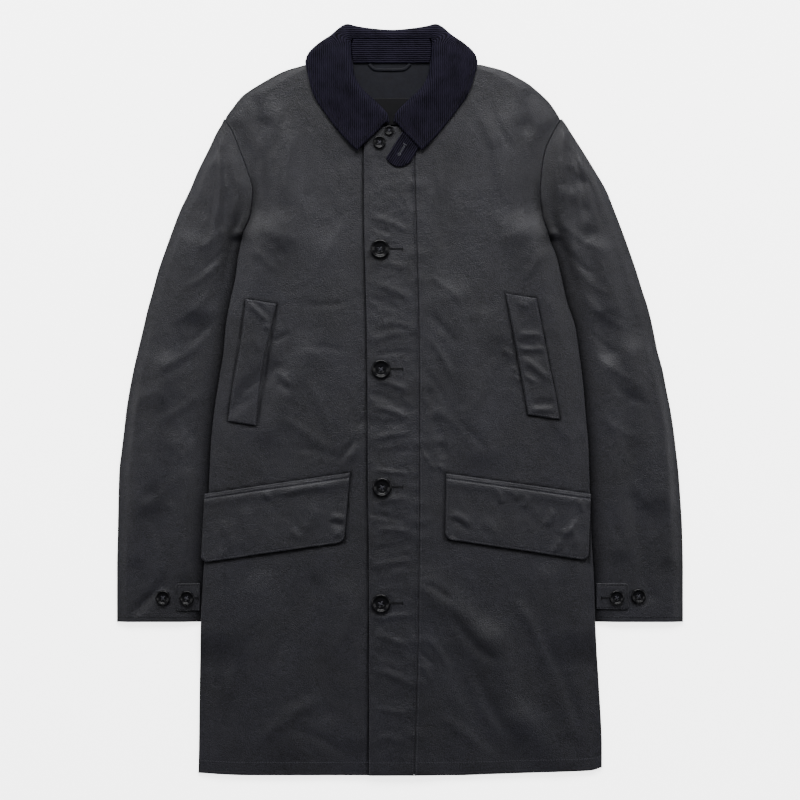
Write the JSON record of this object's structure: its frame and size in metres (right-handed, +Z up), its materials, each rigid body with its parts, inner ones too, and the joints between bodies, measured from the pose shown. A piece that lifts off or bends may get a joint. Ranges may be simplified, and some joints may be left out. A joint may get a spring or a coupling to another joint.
{
  "type": "waxed cotton jacket",
  "caption": "Thigh-length waxed cotton jacket with a corduroy collar, slanted hand pockets and flap pockets, fastened and laid flat on its back.",
  "frame": {"origin": "on the floor under the middle of the jacket as it lies", "axes": "+X towards the wearer's left, +Y from the hem to the collar, +Z up off the floor, out of the fronts"},
  "size_m": [0.726, 0.962, 0.019],
  "materials": {
    "waxed_cotton": "waxed, softly shiny woven cotton, near black navy",
    "corduroy": "fine-wale corduroy, dark navy",
    "lining": "smooth plain lining, slate grey",
    "label": "plain woven label, dark",
    "button": "polished black"
  },
  "bodies": {
    "root": {"back": "waxed_cotton", "front_right": "waxed_cotton", "front_left": "waxed_cotton", "placket": "waxed_cotton", "top_sleeve_right": "waxed_cotton", "under_sleeve_right": "waxed_cotton", "top_sleeve_left": "waxed_cotton", "under_sleeve_left": "waxed_cotton", "welt_right": "waxed_cotton", "welt_left": "waxed_cotton", "flap_right": "waxed_cotton", "flap_left": "waxed_cotton", "cuff_tab_right": "waxed_cotton", "cuff_tab_left": "waxed_cotton", "collar_fall": "corduroy", "collar_stand": "corduroy", "throat_latch": "corduroy", "back_lining": "lining", "hanger_loop": "lining", "label": "label", "front_button_1": "button", "front_button_2": "button", "front_button_3": "button", "front_button_4": "button", "placket_top_button": "button", "latch_button": "button", "cuff_button_right": "button", "cuff_button_left": "button", "spare_cuff_button_right": "button", "spare_cuff_button_left": "button"}
  },
  "joints": []
}
